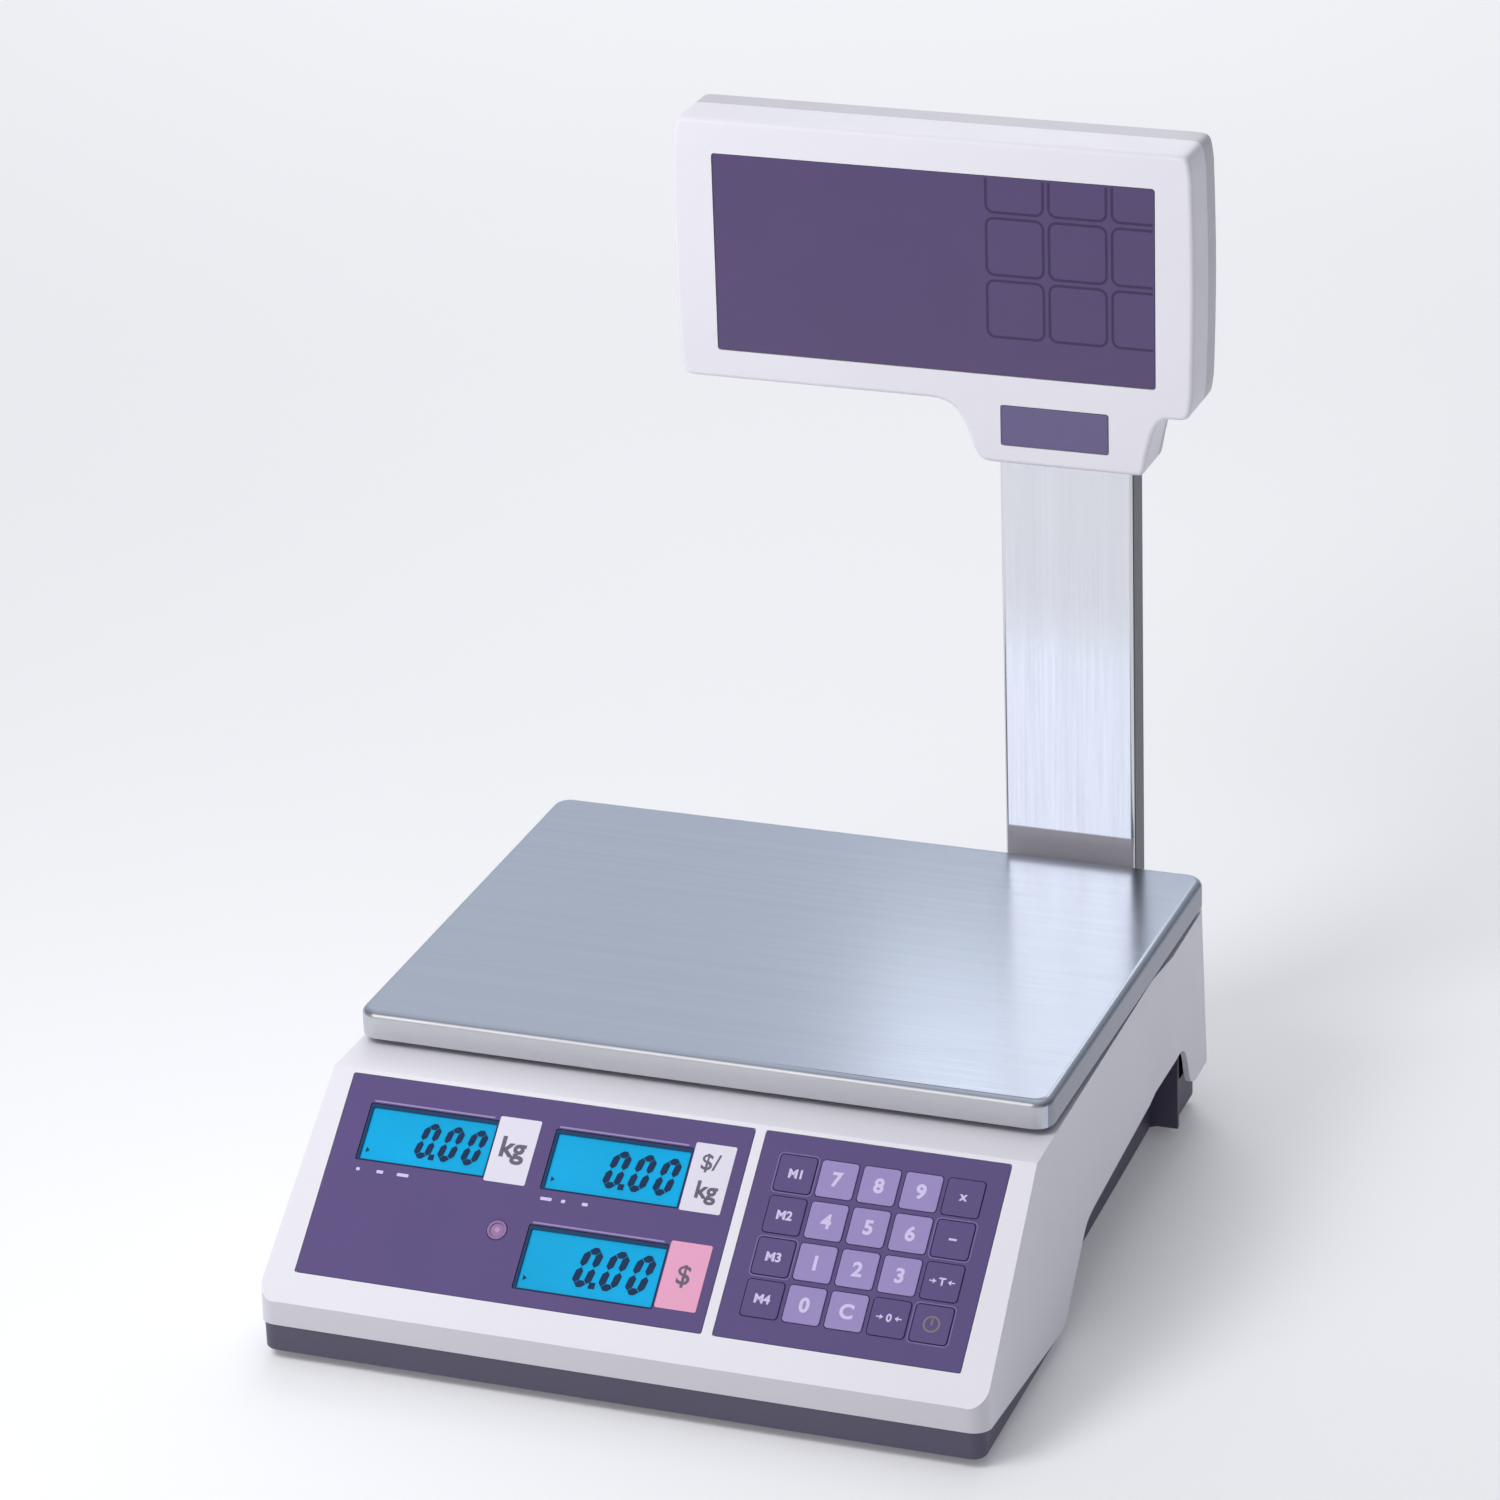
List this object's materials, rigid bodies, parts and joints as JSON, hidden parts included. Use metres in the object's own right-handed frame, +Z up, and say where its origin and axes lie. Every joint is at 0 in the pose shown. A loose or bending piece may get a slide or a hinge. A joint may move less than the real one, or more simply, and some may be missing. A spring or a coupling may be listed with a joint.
{
  "type": "retail price scale",
  "caption": "Counter price scale: stainless platter on a wedge base with a sloped panel of three displays and a keypad, and a customer display on a rear pole.",
  "frame": {"origin": "on the counter under the middle of the bounding box", "axes": "+X to the operator's right, -Y towards the operator, +Z up"},
  "size_m": [0.3168, 0.373, 0.4395],
  "materials": {
    "white_housing": "fine satin moulded plastic",
    "dark_base": "matte dark plastic",
    "overlay_film": "printed film, soft gloss",
    "key_light": "embossed film pad",
    "key_dark": "embossed film pad",
    "lcd_glass": "backlit blue",
    "level_vial": "clear vial",
    "circuit_board": "solder mask",
    "battery_case": "matte",
    "transformer_core": "varnished",
    "inlet_plastic": "matte",
    "machined_aluminium": "machined",
    "cast_aluminium": "as cast",
    "brushed_stainless": "fine satin",
    "polished_stainless": "polished, faintly brushed",
    "zinc_steel": "zinc plated",
    "black_rubber": "matte",
    "cable_jacket": "satin",
    "tinted_window": "tinted acrylic with a printed back",
    "dark_display": "switched off"
  },
  "bodies": {
    "base": {"upper_housing": "white_housing", "head_front": "white_housing", "head_back": "white_housing", "base_tray": "dark_base", "battery_door": "dark_base", "display_panel": "overlay_film", "keypad_panel": "overlay_film", "head_badge": "overlay_film", "lcd_weight": "lcd_glass", "lcd_unit_price": "lcd_glass", "lcd_total": "lcd_glass", "bubble_level": "level_vial", "display_board": "circuit_board", "key_board": "circuit_board", "main_board": "circuit_board", "head_board": "circuit_board", "battery": "battery_case", "power_transformer": "transformer_core", "power_inlet": "inlet_plastic", "load_cell": "machined_aluminium", "load_cell_mount": "cast_aluminium", "pole": "polished_stainless", "pole_bracket": "zinc_steel", "pole_screw_lower": "zinc_steel", "pole_screw_upper": "zinc_steel", "pole_cable": "cable_jacket", "head_window": "tinted_window", "head_display": "dark_display"},
    "platform": {"pan_support": "cast_aluminium", "pan_pad_front_left": "black_rubber", "pan_pad_front_right": "black_rubber", "pan_pad_rear_left": "black_rubber", "pan_pad_rear_right": "black_rubber"},
    "platter": {"platter": "brushed_stainless"},
    "key_m1": {"key_m1": "key_dark"},
    "key_7": {"key_7": "key_light"},
    "key_8": {"key_8": "key_light"},
    "key_9": {"key_9": "key_light"},
    "key_multiply": {"key_multiply": "key_dark"},
    "key_m2": {"key_m2": "key_dark"},
    "key_4": {"key_4": "key_light"},
    "key_5": {"key_5": "key_light"},
    "key_6": {"key_6": "key_light"},
    "key_minus": {"key_minus": "key_dark"},
    "key_m3": {"key_m3": "key_dark"},
    "key_1": {"key_1": "key_light"},
    "key_2": {"key_2": "key_light"},
    "key_3": {"key_3": "key_light"},
    "key_tare": {"key_tare": "key_dark"},
    "key_m4": {"key_m4": "key_dark"},
    "key_0": {"key_0": "key_light"},
    "key_clear": {"key_clear": "key_light"},
    "key_zero": {"key_zero": "key_dark"},
    "key_power": {"key_power": "key_dark"},
    "foot_front_left": {"foot_front_left": "black_rubber"},
    "foot_front_right": {"foot_front_right": "black_rubber"},
    "foot_rear_left": {"foot_rear_left": "black_rubber"},
    "foot_rear_right": {"foot_rear_right": "black_rubber"}
  },
  "joints": [
    {"name": "platform_weigh", "type": "slide", "parent": "base", "child": "platform", "axis": [0, 0, -1], "range_m": [0, 0.0005], "stiffness_N_per_m": 20000, "springref_m": -0.002},
    {"name": "platter_lift", "type": "slide", "parent": "platform", "child": "platter", "axis": [0, 0, 1], "range_m": [0, 0.08]},
    {"name": "key_m1_press", "type": "slide", "parent": "base", "child": "key_m1", "axis": [0, 0.6361, -0.7716], "range_m": [0, 0.0005], "stiffness_N_per_m": 3000},
    {"name": "key_7_press", "type": "slide", "parent": "base", "child": "key_7", "axis": [0, 0.6361, -0.7716], "range_m": [0, 0.0005], "stiffness_N_per_m": 3000},
    {"name": "key_8_press", "type": "slide", "parent": "base", "child": "key_8", "axis": [0, 0.6361, -0.7716], "range_m": [0, 0.0005], "stiffness_N_per_m": 3000},
    {"name": "key_9_press", "type": "slide", "parent": "base", "child": "key_9", "axis": [0, 0.6361, -0.7716], "range_m": [0, 0.0005], "stiffness_N_per_m": 3000},
    {"name": "key_multiply_press", "type": "slide", "parent": "base", "child": "key_multiply", "axis": [0, 0.6361, -0.7716], "range_m": [0, 0.0005], "stiffness_N_per_m": 3000},
    {"name": "key_m2_press", "type": "slide", "parent": "base", "child": "key_m2", "axis": [0, 0.6361, -0.7716], "range_m": [0, 0.0005], "stiffness_N_per_m": 3000},
    {"name": "key_4_press", "type": "slide", "parent": "base", "child": "key_4", "axis": [0, 0.6361, -0.7716], "range_m": [0, 0.0005], "stiffness_N_per_m": 3000},
    {"name": "key_5_press", "type": "slide", "parent": "base", "child": "key_5", "axis": [0, 0.6361, -0.7716], "range_m": [0, 0.0005], "stiffness_N_per_m": 3000},
    {"name": "key_6_press", "type": "slide", "parent": "base", "child": "key_6", "axis": [0, 0.6361, -0.7716], "range_m": [0, 0.0005], "stiffness_N_per_m": 3000},
    {"name": "key_minus_press", "type": "slide", "parent": "base", "child": "key_minus", "axis": [0, 0.6361, -0.7716], "range_m": [0, 0.0005], "stiffness_N_per_m": 3000},
    {"name": "key_m3_press", "type": "slide", "parent": "base", "child": "key_m3", "axis": [0, 0.6361, -0.7716], "range_m": [0, 0.0005], "stiffness_N_per_m": 3000},
    {"name": "key_1_press", "type": "slide", "parent": "base", "child": "key_1", "axis": [0, 0.6361, -0.7716], "range_m": [0, 0.0005], "stiffness_N_per_m": 3000},
    {"name": "key_2_press", "type": "slide", "parent": "base", "child": "key_2", "axis": [0, 0.6361, -0.7716], "range_m": [0, 0.0005], "stiffness_N_per_m": 3000},
    {"name": "key_3_press", "type": "slide", "parent": "base", "child": "key_3", "axis": [0, 0.6361, -0.7716], "range_m": [0, 0.0005], "stiffness_N_per_m": 3000},
    {"name": "key_tare_press", "type": "slide", "parent": "base", "child": "key_tare", "axis": [0, 0.6361, -0.7716], "range_m": [0, 0.0005], "stiffness_N_per_m": 3000},
    {"name": "key_m4_press", "type": "slide", "parent": "base", "child": "key_m4", "axis": [0, 0.6361, -0.7716], "range_m": [0, 0.0005], "stiffness_N_per_m": 3000},
    {"name": "key_0_press", "type": "slide", "parent": "base", "child": "key_0", "axis": [0, 0.6361, -0.7716], "range_m": [0, 0.0005], "stiffness_N_per_m": 3000},
    {"name": "key_clear_press", "type": "slide", "parent": "base", "child": "key_clear", "axis": [0, 0.6361, -0.7716], "range_m": [0, 0.0005], "stiffness_N_per_m": 3000},
    {"name": "key_zero_press", "type": "slide", "parent": "base", "child": "key_zero", "axis": [0, 0.6361, -0.7716], "range_m": [0, 0.0005], "stiffness_N_per_m": 3000},
    {"name": "key_power_press", "type": "slide", "parent": "base", "child": "key_power", "axis": [0, 0.6361, -0.7716], "range_m": [0, 0.0005], "stiffness_N_per_m": 3000},
    {"name": "foot_front_left_turn", "type": "hinge", "parent": "base", "child": "foot_front_left", "pos_m": [-0.128, -0.15, 0], "axis": [0, 0, 1], "continuous": true},
    {"name": "foot_front_right_turn", "type": "hinge", "parent": "base", "child": "foot_front_right", "pos_m": [0.128, -0.15, 0], "axis": [0, 0, 1], "continuous": true},
    {"name": "foot_rear_left_turn", "type": "hinge", "parent": "base", "child": "foot_rear_left", "pos_m": [-0.128, 0.128, 0], "axis": [0, 0, 1], "continuous": true},
    {"name": "foot_rear_right_turn", "type": "hinge", "parent": "base", "child": "foot_rear_right", "pos_m": [0.128, 0.128, 0], "axis": [0, 0, 1], "continuous": true}
  ]
}
